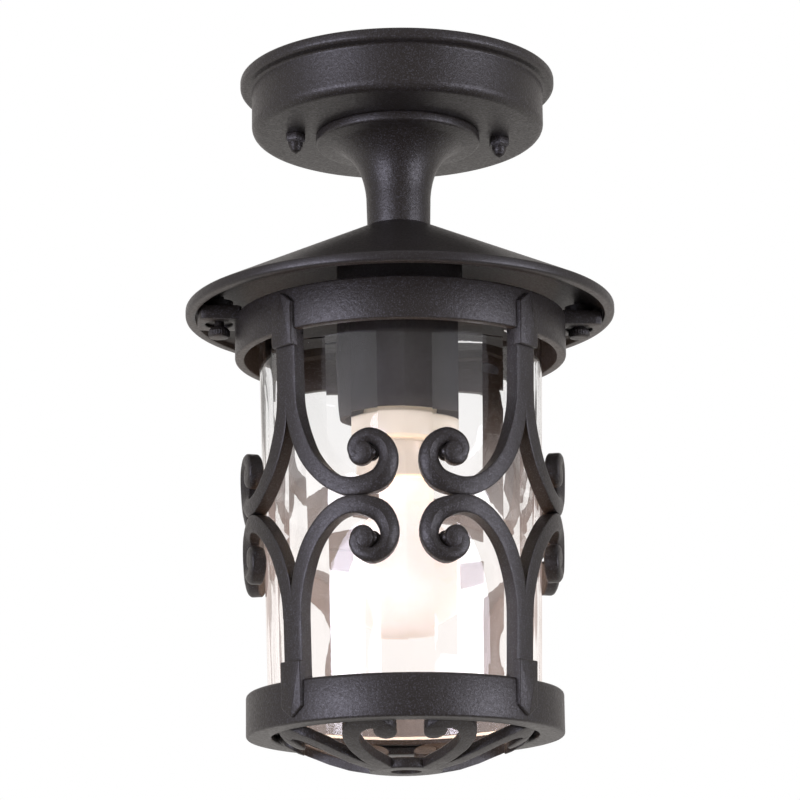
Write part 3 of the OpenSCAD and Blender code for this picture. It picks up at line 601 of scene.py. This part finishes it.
def dome_nuts():
    for side, word in ((-1, "left"), (1, "right")):
        hexagon = bmesh.new()
        bmesh.ops.create_cone(
            hexagon, cap_ends=True, segments=6, radius1=4.9, radius2=5.75, depth=1.2,
            matrix=Matrix.Translation((0, 0, -35.5)),
        )
        prism = bmesh.new()
        bmesh.ops.create_cone(
            prism, cap_ends=True, segments=6, radius1=5.75, radius2=5.75, depth=3.8,
            matrix=Matrix.Translation((0, 0, -33.0)),
        )
        bmesh.ops.bevel(
            prism, geom=prism.edges[:], offset=0.25, offset_type="OFFSET", segments=2,
            profile=0.5, affect="EDGES", material=-1,
        )
        dome = turned([
            (0, -34, 0), (3.9, -34, 0), (3.9, -36.2, 0.3), (3.75, -38.2, 2.5), (2.6, -40.6, 2.0),
            (0, -42.0, 0),
        ], 48)
        bm = moved(joined(hexagon, prism, dome), x=side * 55)
        piece(f"dome_nut_cap_{word}", bm, f"nut_{word}", [f"dome_nut_{word}"], SAND_BLACK, 28)


# ---------- cage ----------
def wall_place(side=1, lift=1, back=POST_DEEP):
    """Where a point of a post lies: along the wall, above the seam, out from its back."""
    def place(u, h, d):
        z = SEAM + lift * h
        turn = side * u / MIDDLE_R
        r = cage_r(z) - back + d
        return Vector((r * math.cos(turn), r * math.sin(turn), z))

    return place


ARM = [
    # across, up, width, depth, edge, ridge, inner edge, squareness
    (3.3, 58.0, 6.6, 8, 0.9, 0, 0, 6.0),
    (3.5, 50.5, 7.0, 8, 0.9, 0, 0, 6.0),
    (4.4, 42.6, 8.3, 8, 0.9, 0, 0.5, 6.0),
    (7.1, 33.3, 8.8, 8, 0.9, 0, 1, 6.0),
    (12.0, 22.8, 8.7, 8, 1.0, 0, 1, 6.0),
    (18.8, 14.2, 8.6, 8, 1.0, 0, 1, 5.5),
    (26.2, 8.1, 8.7, 8, 1.1, 0, 1, 5.0),
    (33.8, 4.9, 9.2, 8, 1.2, 0, 1, 4.6),
    (42.0, 4.9, 9.6, 8, 1.4, 0.6, 1, 4.2),
    (51.6, 8.7, 11.4, 8, 1.6, 2.4, 1, 3.6),
    (56.0, 17.6, 10.7, 8, 1.7, 3.0, 1, 3.2),
    (53.9, 25.8, 9.0, 8, 1.9, 2.4, 1, 3.0),
    (46.9, 30.2, 7.7, 8, 2.2, 1.2, 1, 2.8),
    (40.9, 28.2, 7.3, 8, 1.9, 0.3, 1, 2.8),
    (38.3, 24.4, 6.6, 8, 1.7, 0, 1, 3.0),
    (38.6, 21.0, 5.4, 8, 1.6, 0, 1, 3.0),
    (40.6, 19.8, 3.6, 8, 1.4, 0, 1, 3.0),
]
EYE = (41.7, 21.5)


def scroll_arm(side, lift):
    place = wall_place(side, lift)
    return swept(bar_sections(ARM, 4, lambda u, h, d: place(u, max(h, 0.1), d)))


def button(place, across, up, profile, steps):
    """A round boss: profile gives the radius at each depth."""
    return swept([
        [
            place(across + r * math.cos(a * math.tau / steps),
                  up + r * math.sin(a * math.tau / steps), d)
            for a in range(steps)
        ]
        for r, d in profile
    ])


def volute_eye(side, lift):
    """The rounded end of a volute, the sunk floor beside it and the small bead in that."""
    place = wall_place(side, lift)
    ball = button(place, *EYE, [
        (6.0, 0.6), (6.5, 2.4), (6.6, 4.6), (6.4, 6.0), (5.8, 7.0), (4.8, 7.6), (3.2, 7.9),
        (0.2, 7.97),
    ], 36)
    floor = button(place, 46.6, 22.2, [(4.6, 0.6), (4.6, 2.2), (4.0, 3.0), (0.3, 3.4)], 24)
    bead = button(place, 47.0, 21.6, [
        (2.9, 2.4), (2.9, 4.2), (2.4, 5.4), (1.5, 6.2), (0.1, 6.5),
    ], 20)
    return joined(ball, floor, bead)


def straight(low, high, deep, back, edge=1.3):
    """An upright bar of a post between two heights above the seam."""
    count = 6
    stations = [
        (0, low + (high - low) * i / count, POST_WIDE, deep, edge, 0, 1, 6.0)
        for i in range(count + 1)
    ]
    return swept(bar_sections(stations, 1, wall_place(back=back), 15))


def scroll_posts():
    parts = []
    for lift in (-1, 1):
        for side in (-1, 1):
            parts += [scroll_arm(side, lift), volute_eye(side, lift)]
    parts += [
        straight(58, 88.9, POST_DEEP, POST_DEEP), straight(-88.9, -58, POST_DEEP, POST_DEEP),
        straight(87, 104.6, 3.2, 8.2, 0.5), straight(-101.4, -87, 3.2, 8.2, 0.5),
    ]
    post = joined(*parts)
    for k in range(4):
        piece(
            f"scroll_casting_{k + 1}", moved(post.copy(), POST_ANGLES[k]), "cage",
            [f"scroll_post_{k + 1}"], SAND_BLACK, 24,
        )
    post.free()


def gable(angle, low, shoulder, tip):
    """A cap with a pointed end, lapped over a post and its ring."""
    wide, thick, proud = 13.8, 4.6, 2.4
    corners = [(-wide / 2, low, 0.8), (wide / 2, low, 0.8)]
    arch = [(1.0, 0.0), (0.79, 0.27), (0.54, 0.53), (0.27, 0.78)]
    corners += [(wide / 2 * x, shoulder + (tip - shoulder) * y, 0) for x, y in arch]
    corners += [(0, tip, 0.5)]
    corners += [(-wide / 2 * x, shoulder + (tip - shoulder) * y, 0) for x, y in reversed(arch)]
    bm = outline(corners if tip > low else corners[::-1])
    grown = bmesh.ops.extrude_face_region(bm, geom=bm.faces[:])["geom"]
    front = [v for v in grown if isinstance(v, bmesh.types.BMVert)]
    bmesh.ops.translate(bm, vec=(0, thick, 0), verts=front)
    rim = [e for e in bm.edges if all(v.co.y > thick / 2 for v in e.verts)]
    bmesh.ops.bevel(
        bm, geom=rim, offset=0.8, offset_type="OFFSET", segments=3, profile=0.5,
        affect="EDGES", material=-1,
    )
    for v in bm.verts:
        r = cage_r(v.co.z) + proud - thick + v.co.y
        v.co = (math.sqrt(r * r - v.co.x ** 2), v.co.x, v.co.z)
    return moved(bm, angle)


def ear(side):
    """A lug of the top ring with its screw hole and the pocket under it."""
    count, half_wide, inward, tip_r, blunt = 56, 13.0, 11.4, 107.2, 12

    def loop(inset, z, radius=None):
        """Round for the hole and the pocket; else the lug's outline, its corners blunted."""
        points = []
        for i in range(count):
            a = math.tau * i / count
            c, s = math.cos(a), math.sin(a)
            if radius is None:
                reach = (half_wide / max(abs(s), 1e-3)) ** -blunt
                if c < 0:
                    reach += (inward / max(-c, 1e-3)) ** -blunt
                tip = -EAR_X * c + math.sqrt((EAR_X * c) ** 2 + tip_r ** 2 - EAR_X ** 2)
                reach += tip ** -blunt
                r = reach ** (-1 / blunt) - inset
            else:
                r = radius
            points.append(Vector((r * c, r * s, z)))
        return points

    sections = [
        loop(0.8, EAR_TOP), loop(0.2, EAR_TOP - 0.25), loop(0, EAR_TOP - 0.9),
        loop(0, EAR_LOW + 1.0), loop(0.3, EAR_LOW + 0.3), loop(1.0, EAR_LOW),
        loop(0, EAR_LOW, 7.7), loop(0, EAR_LOW + 0.4, 7.3), loop(0, EAR_LOW + 1.6, 7.3),
        loop(0, EAR_LOW + 1.6, 2.56), loop(0, EAR_TOP, 2.56),
    ]
    bm = moved(swept(sections, True), x=EAR_X)
    return moved(bm, 180) if side < 0 else bm


def top_ring():
    band = turned([
        (RING_R - WALL, RING_LOW, 0.5), (RING_R, RING_LOW, 1.0), (RING_R, RING_TOP, 1.0),
        (RING_R - WALL, RING_TOP, 0.5),
    ], 192)
    caps = [gable(a, -163.9, -141.2, -135.8) for a in POST_ANGLES]
    piece(
        "top_ring_casting", joined(band, *caps, ear(1), ear(-1)), "cage", ["top_ring"],
        SAND_BLACK,
    )


def bottom_ring():
    band = turned([
        (LIP_IN, BASE, 0.9), (BASE_R, BASE, 1.3), (BASE_R, BASE_TOP, 1.7),
        (BASE_R - WALL, BASE_TOP, 0.4), (BASE_R - WALL, -351.0, 0), (LIP_IN, -351.0, 0.4),
    ], 192)
    shoes = [gable(a, -324.3, -347.2, -352.4) for a in POST_ANGLES]
    piece("bottom_ring_casting", joined(band, *shoes), "cage", ["bottom_ring"], SAND_BLACK)


def cage_screws():
    knurls, notch, grip_r = 24, 0.965, 5.2
    for side, word in ((-1, "left"), (1, "right")):
        drop = SCREW_OUT if side < 0 else 0.0
        knob = turned([
            (0, -111.0, 0), (2.1, -111.0, 0), (2.5, -111.6, 0), (2.5, -135.8, 0.4),
            (3.3, -136.1, 0.3), (4.6, -136.8, 0.4), (5.7, -138.3, 0.6), (5.7, -140.7, 0.5),
            (5.0, -141.7, 0.4), (3.6, -142.0, 0.3), (0, -142.0, 0),
        ], 96)
        for v in knob.verts:
            r = math.hypot(v.co.x, v.co.y)
            if r > grip_r and math.cos(knurls * math.atan2(v.co.y, v.co.x)) < 0:
                v.co.x *= notch
                v.co.y *= notch
        piece(
            f"cage_screw_knob_{word}", moved(knob, x=side * EAR_X, z=-drop), f"screw_{word}",
            [f"cage_screw_{word}"], SAND_BLACK, 25,
        )


# ---------- glass ----------
def glass():
    """The cylinder: smooth outside, flat flutes inside that each lean a little their own way."""
    top, low, r_top, r_low, wall = -130.2, -346.4, 75.2, 70.25, 4.0
    flutes, turned_on, wide_lean, fine_lean, rim_wave = 32, 1.2, 0.8, 0.05, 0.9

    def outer_r(z):
        return r_low + (r_top - r_low) * (z - low) / (top - low)

    def line(r, count, turn_back):
        span = [i / count for i in range(1, count)]
        return [
            (r + (r_top - r_low) * t, low + (top - low) * t, 0)
            for t in (reversed(span) if turn_back else span)
        ]

    corners = [(r_low - wall + 0.4, low, 0), (r_low - 0.4, low, 0), (r_low, low + 0.6, 0)]
    corners += line(r_low, 18, False)
    corners += [(r_top, top - 0.6, 0), (r_top - 0.4, top, 0), (r_top - wall + 0.4, top, 0)]
    corners += [(r_top - wall, top - 0.6, 0)] + line(r_low - wall, 80, True)
    corners += [(r_low - wall, low + 0.6, 0)]
    bm = turned(corners, 256)

    def lean(flute, z):
        """How far the first edge of a flute stands off the true circle."""
        flute %= flutes
        wide = noise.noise(Vector((flute * 3.1, z * 0.026, 7.7)))
        fine = noise.noise(Vector((flute * 5.3, z * 0.09, 8.4)))
        return wide_lean * wide + fine_lean * fine

    for v in bm.verts:
        r = math.hypot(v.co.x, v.co.y)
        turn = math.atan2(v.co.y, v.co.x)
        z = v.co.z
        if r < outer_r(z) - 1.5:
            k = math.floor(turn / math.tau * flutes + 0.5)
            off = turn - k * math.tau / flutes
            flat = 1 / math.cos(off) - 1 / math.cos(math.pi / flutes)
            t = off * flutes / math.tau + 0.5
            grown = r * (1 + flat) + (1 - t) * lean(k, z) + t * lean(k + 1, z)
            v.co.x *= grown / r
            v.co.y *= grown / r
        if z > top - 1.0:
            around = Vector((math.cos(turn) * 9, math.sin(turn) * 9, 1.7))
            v.co.z -= rim_wave * abs(noise.noise(around))
    moved(bm, turned_on)
    mesh = piece("glass_fluted", bm, "cage", ["glass_cylinder"], GLASS).data
    for edge in mesh.edges:
        ends = [mesh.vertices[i].co for i in edge.vertices]
        middle = (ends[0] + ends[1]) / 2 / MM
        if math.hypot(middle.x, middle.y) < outer_r(middle.z) - 1.5:
            turns = [math.atan2(v.y, v.x) - math.radians(turned_on) for v in ends]
            if all(abs(t / math.tau * flutes % 1.0 - 0.5) < 0.05 for t in turns):
                edge.use_edge_sharp = True


# ---------- grille ----------
def dome_low(r):
    track = [
        (0, -372.8), (19, -372.8), (33.1, -370.0), (45.5, -366.0), (56.5, -361.25),
        (62.7, -357.9), (68.2, -353.5), (80, -344),
    ]
    for (r0, z0), (r1, z1) in zip(track, track[1:]):
        if r <= r1:
            t = (r - r0) / (r1 - r0)
            return z0 + (z1 - z0) * t
    return track[-1][1]


LYRE = [
    # across, out, width, depth, edge, ridge, inner edge, squareness
    (8.5, 9.0, 9.0, 5.5, 0.7, 0, 1, 6.0),
    (14.6, 19.5, 9.2, 5.5, 0.7, 0, 1, 6.0),
    (21.3, 29.5, 9.0, 5.5, 0.7, 0, 1, 6.0),
    (27.0, 39.5, 8.7, 5.5, 0.7, 0, 1, 6.0),
    (29.4, 48.5, 8.4, 5.5, 0.7, 0, 1, 6.0),
    (27.6, 56.0, 7.8, 5.5, 0.7, 0, 1, 6.0),
    (22.4, 61.0, 7.0, 5.5, 0.7, 0, 1, 6.0),
    (16.5, 62.0, 6.4, 5.5, 0.8, 0, 1, 5.0),
    (12.2, 60.4, 5.4, 5.5, 0.8, 0, 1, 5.0),
    (10.4, 57.6, 3.6, 5.3, 0.8, 0, 1, 4.0),
]
LYRE_EYE = (12.6, 57.4, 5.9)


def lyre_side(side):
    """One side of a lyre with its round end, laid on the dome and cut short at the rim."""
    rim_r = 69.5

    def place(u, h, d):
        r = min(math.hypot(u, h), rim_r)
        scale = r / max(math.hypot(u, h), 1e-6)
        return Vector((h * scale, side * u * scale, dome_low(r) + GRILLE_DEEP - d))

    across, out, radius = LYRE_EYE
    rings = []
    for r, d in ((1.0, 0.0), (1.0, 4.6), (0.96, 5.2), (0.86, 5.55), (0.5, 5.7), (0.08, 5.7)):
        rings.append([
            place(across + r * radius * math.cos(a * math.tau / 28),
                  out + r * radius * math.sin(a * math.tau / 28), d)
            for a in range(28)
        ])
    return joined(swept(bar_sections(LYRE, 4, place, 11)), swept(rings))


def bottom_grille():
    boss = turned([
        (7.8, GRILLE_LOW + GRILLE_DEEP, 0.5), (7.8, GRILLE_LOW, 0.7), (19, GRILLE_LOW, 0.9),
        (19, GRILLE_LOW + GRILLE_DEEP, 0.6),
    ], 96)
    rim = turned([
        (65.4, -350.9, 0.5), (76.4, -350.9, 0.4), (76.4, -347.9, 0.4), (65.4, -347.9, 0.5),
    ], 144)
    parts = [boss, rim]
    for k in range(4):
        for side in (-1, 1):
            parts.append(moved(lyre_side(side), POST_ANGLES[k] - 45))
    bm = joined(*parts)
    hole_r = 8.02
    for v in bm.verts:
        r = math.hypot(v.co.x, v.co.y)
        if r < 8 - 1e-3:
            v.co.x *= hole_r / max(r, 1e-3)
            v.co.y *= hole_r / max(r, 1e-3)
    piece("grille_casting", bm, "cage", ["bottom_grille"], SAND_BLACK)


# ---------- lampholder and lamp ----------
def lampholder():
    cup = turned([
        (5.4, -98.3, 0), (5.4, -97.1, 0), (33.4, -97.1, 2.4), (33.4, -188, 0.3),
        (32.2, -188, 0.3), (32.2, -98.3, 2.0),
    ], 96)
    piece("holder_cup", cup, "fixture", ["lampholder_cup"], HOLDER_BLACK)
    body = turned([
        (0, -190, 0), (0, -159, 0), (21, -159, 1), (21, -188.1, 0), (26.6, -188.1, 0.6),
        (27.8, -189.3, 0.8), (27.8, -201.4, 1.2), (26.3, -203.1, 0.8), (20.4, -203.1, 1.0),
        (20.4, -222.1, 1.4), (14.1, -222.1, 0.6), (14.1, -190, 0),
    ], 112)
    piece("holder_ceramic", body, "fixture", ["lampholder"], CERAMIC)


def bulb():
    glass_line = through([
        (12.6, -218.0), (12.6, -222.6), (13.4, -229.0), (17.2, -238.5), (23.6, -251.0),
        (28.2, -263.0), (30.0, -275.3), (28.0, -286.9), (21.3, -296.4), (11.6, -303.0),
        (0, -305.3),
    ], 4)
    corners = [(11.6, -218.0, 0)] + [(r, z, 0) for r, z in glass_line]
    # The inner face: 1 mm in from the sides, and 1 mm up below the widest part.
    widest = -270
    corners += [
        (max(0.0, r - 1.0 if z > widest else r * 0.966), z + (0.0 if z > widest else 1.0), 0)
        for r, z in reversed(glass_line[2:])
    ]
    corners[len(glass_line) + 1] = (0, -304.3, 0)
    opal = piece("bulb_opal", turned(corners, 96), "lamp", ["bulb_envelope"], OPAL, 60)
    opal.visible_shadow = False
    pitch, turns, per_turn = 3.63, 5, 8
    mid_r, wave, thread_top = 12.75, 0.33, -199.6
    thread = [(8.2, -195.4, 0), (8.5, -195.35, 0), (12.2, -198.8, 0.4)]
    for i in range(turns * per_turn + 1):
        r = mid_r + wave * math.cos(math.tau * i / per_turn)
        thread.append((r, thread_top - pitch * i / per_turn, 0))
    thread += [(12.3, -221.3, 0.2), (11.9, -221.3, 0), (11.9, -199.4, 0), (8.2, -196, 0)]
    cap = turned(thread, 72)
    for v in cap.verts:
        r = math.hypot(v.co.x, v.co.y)
        if r > 12.35 and -218.2 < v.co.z < -199.5:
            turn = math.atan2(v.co.y, v.co.x) % math.tau
            down = (thread_top - v.co.z) / pitch
            lobe = mid_r + wave * math.cos(math.tau * (down - turn / math.tau))
            v.co.x *= lobe / r
            v.co.y *= lobe / r
    disc = turned([(0, -195.35, 0), (8.4, -195.35, 0), (8.4, -195.9, 0), (0, -195.9, 0)], 48)
    piece("bulb_screw_cap", joined(cap, disc), "lamp", ["bulb_cap"], NICKEL, 50)


# ---------- finishes of the CAD nodes that stay ----------
def keep_nodes():
    kept = {
        ZINC: ["mounting_bracket", "canopy_studs", "threaded_tube", "tube_washers", "tube_nuts",
               "holder_bracket", "holder_screws", "earth_tag", "bulb_contact",
               "post_screws_top", "post_screws_bottom", "grille_screws"],
        BRASS: ["terminal_sleeves", "earth_screw", "holder_terminals", "screw_shell",
                "centre_contact"],
        FOAM: ["canopy_gasket", "glass_seal"],
        SILICONE: ["glass_seat"],
        NYLON: ["terminal_block"],
        VITRITE: ["bulb_insulator"],
        EARTH_LEAD: ["earth_lead"],
        BROWN_LEAD: ["live_lead"],
        BLUE_LEAD: ["neutral_lead"],
        STEM_GLASS: ["bulb_mount"],
        FILAMENT: ["filament"],
    }
    for material, names in kept.items():
        for name in names:
            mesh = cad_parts[name].data
            mesh.materials.clear()
            mesh.materials.append(material)


# ---------- camera, floor and light ----------
def camera():
    """The photo's view: from below and a little to the left, looking up."""
    away, below, tilt, roll = 1.581, -0.5602, 13.63, -0.763
    a = math.radians(VIEW_TURN)
    eye = bpy.data.cameras.new("view")
    eye.lens = 138.95
    eye.sensor_width = 36
    eye.shift_x = -0.0014
    eye.clip_start, eye.clip_end = 0.05, 50
    made = bpy.data.objects.new("view", eye)
    forward = Vector((math.sin(a), math.cos(a), 0)) * math.cos(math.radians(tilt))
    forward.z = math.sin(math.radians(tilt))
    level = forward.cross(Vector((0, 0, 1))).normalized()
    rise = level.cross(forward)
    r = math.radians(roll)
    right = level * math.cos(r) + rise * math.sin(r)
    up = rise * math.cos(r) - level * math.sin(r)
    made.matrix_world = Matrix((
        (right.x, up.x, -forward.x, -away * math.sin(a)),
        (right.y, up.y, -forward.y, -away * math.cos(a)),
        (right.z, up.z, -forward.z, below),
        (0, 0, 0, 1),
    ))
    bpy.context.scene.collection.objects.link(made)
    bpy.context.scene.camera = made


def softbox(name, azimuth, watts, colour):
    """An area lamp beside the lantern; azimuth is measured from the camera, positive right."""
    distance, height, aim = 1.7, -0.34, -0.2
    lamp = bpy.data.lights.new(name, "AREA")
    lamp.shape = "RECTANGLE"
    lamp.size, lamp.size_y = 0.95, 0.8
    lamp.energy = watts
    lamp.color = colour
    made = bpy.data.objects.new(name, lamp)
    a = math.radians(azimuth - VIEW_TURN)
    spot = Vector((distance * math.sin(a), -distance * math.cos(a), height))
    look = (Vector((0, 0, aim)) - spot).to_track_quat("-Z", "Y")
    made.matrix_world = Matrix.Translation(spot) @ look.to_matrix().to_4x4()
    bpy.context.scene.collection.objects.link(made)


def floor():
    """A pale floor, mostly plain white to the camera. Gloss and glass see it lit behind only."""
    level, reach, plain_share = -1500, 9000, 0.65
    bm = bmesh.new()
    bmesh.ops.create_grid(
        bm, x_segments=8, y_segments=8, size=reach, matrix=Matrix.Translation((0, 0, level))
    )
    bmesh.ops.scale(bm, vec=(MM, MM, MM), verts=bm.verts[:])
    mesh = bpy.data.meshes.new("floor")
    bm.to_mesh(mesh)
    bm.free()
    made = bpy.data.objects.new("floor", mesh)
    bpy.context.scene.collection.objects.link(made)
    pale = stock("pale_floor", (0.86, 0.86, 0.85), (0.83, 0.83, 0.82), 0.6, 0.0, 8.0, bump=0.02)
    tree = pale.node_tree
    white = tree.nodes.new("ShaderNodeEmission")
    way = tree.nodes.new("ShaderNodeSeparateXYZ")
    tree.links.new(object_place(tree), way.inputs["Vector"])
    behind = spread(tree, way.outputs["Y"], -1.5, 1.0)
    tree.links.new(
        blend_colour(tree, behind, (0.12, 0.11, 0.11), (0.85, 0.81, 0.78)), white.inputs["Color"]
    )
    both = shader_mix(
        tree, ray_is(tree, "Is Glossy Ray", "Is Transmission Ray"),
        tree.nodes["Principled BSDF"].outputs["BSDF"], white.outputs["Emission"],
    )
    pale_light = tree.nodes.new("ShaderNodeEmission")
    pale_light.inputs["Color"].default_value = (0.97, 0.965, 0.96, 1)
    both = shader_mix(
        tree, arithmetic(tree, "MULTIPLY", ray_is(tree, "Is Camera Ray"), plain_share), both,
        pale_light.outputs["Emission"],
    )
    tree.links.new(both, tree.nodes["Material Output"].inputs["Surface"])
    mesh.materials.append(pale)


def studio():
    """White to the camera and through glass, a greyer room in gloss, two softboxes beside the
    lantern, and a hidden light in the lamp for the warm glow around it."""
    world = bpy.data.worlds.new("studio")
    world.use_nodes = True
    bpy.context.scene.world = world
    tree = world.node_tree
    fill = tree.nodes["Background"]
    fill.inputs["Color"].default_value = (1.0, 0.94, 0.9, 1)
    fill.inputs["Strength"].default_value = 0.35
    white = tree.nodes.new("ShaderNodeBackground")
    white.inputs["Color"].default_value = (1, 1, 1, 1)
    gloss = tree.nodes.new("ShaderNodeBackground")
    way = tree.nodes.new("ShaderNodeSeparateXYZ")
    tree.links.new(tree.nodes.new("ShaderNodeTexCoord").outputs["Generated"], way.inputs["Vector"])
    ramp = tree.nodes.new("ShaderNodeValToRGB")
    tree.links.new(spread(tree, way.outputs["Y"], -1.0, 1.0), ramp.inputs["Fac"])
    stops = [
        (0.0, (0.27, 0.24, 0.21)), (0.04, (0.26, 0.24, 0.22)), (0.11, (0.62, 0.61, 0.68)),
        (0.36, (0.62, 0.6, 0.66)), (0.48, (0.42, 0.4, 0.39)), (0.75, (0.6, 0.57, 0.55)),
        (1.0, (0.85, 0.81, 0.78)),
    ]
    while len(ramp.color_ramp.elements) < len(stops):
        ramp.color_ramp.elements.new(0.5)
    for stop, (spot, tone) in zip(ramp.color_ramp.elements, stops):
        stop.position = spot
        stop.color = (*tone, 1)
    tree.links.new(ramp.outputs["Color"], gloss.inputs["Color"])
    through_glass = tree.nodes.new("ShaderNodeBackground")
    tree.links.new(
        blend_colour(
            tree, spread(tree, way.outputs["Y"], -0.96, -0.84), (0.3, 0.28, 0.28), (1, 1, 1)
        ),
        through_glass.inputs["Color"],
    )
    seen = fill.outputs["Background"]
    for ray, light in (
        ("Is Glossy Ray", gloss), ("Is Transmission Ray", through_glass), ("Is Camera Ray", white),
    ):
        seen = shader_mix(tree, ray_is(tree, ray), seen, light.outputs["Background"])
    tree.links.new(seen, tree.nodes["World Output"].inputs["Surface"])
    softbox("left_softbox", -47, 21, (0.8, 0.78, 0.96))
    softbox("right_softbox", 59, 17, (0.86, 0.84, 0.98))
    glow = bpy.data.lights.new("lamp_glow", "POINT")
    glow.energy, glow.shadow_soft_size, glow.color = 1.0, 0.02, (1.0, 0.62, 0.38)
    made = bpy.data.objects.new("lamp_glow", glow)
    made.location = (0, 0, -0.2753)
    made.visible_glossy = made.visible_transmission = made.visible_camera = False
    bpy.context.scene.collection.objects.link(made)
    bpy.context.scene.view_settings.view_transform = "Standard"


camera()
floor()
studio()
canopy()
stem()
roof()
dome_nuts()
top_ring()
scroll_posts()
bottom_ring()
cage_screws()
glass()
bottom_grille()
lampholder()
bulb()
keep_nodes()
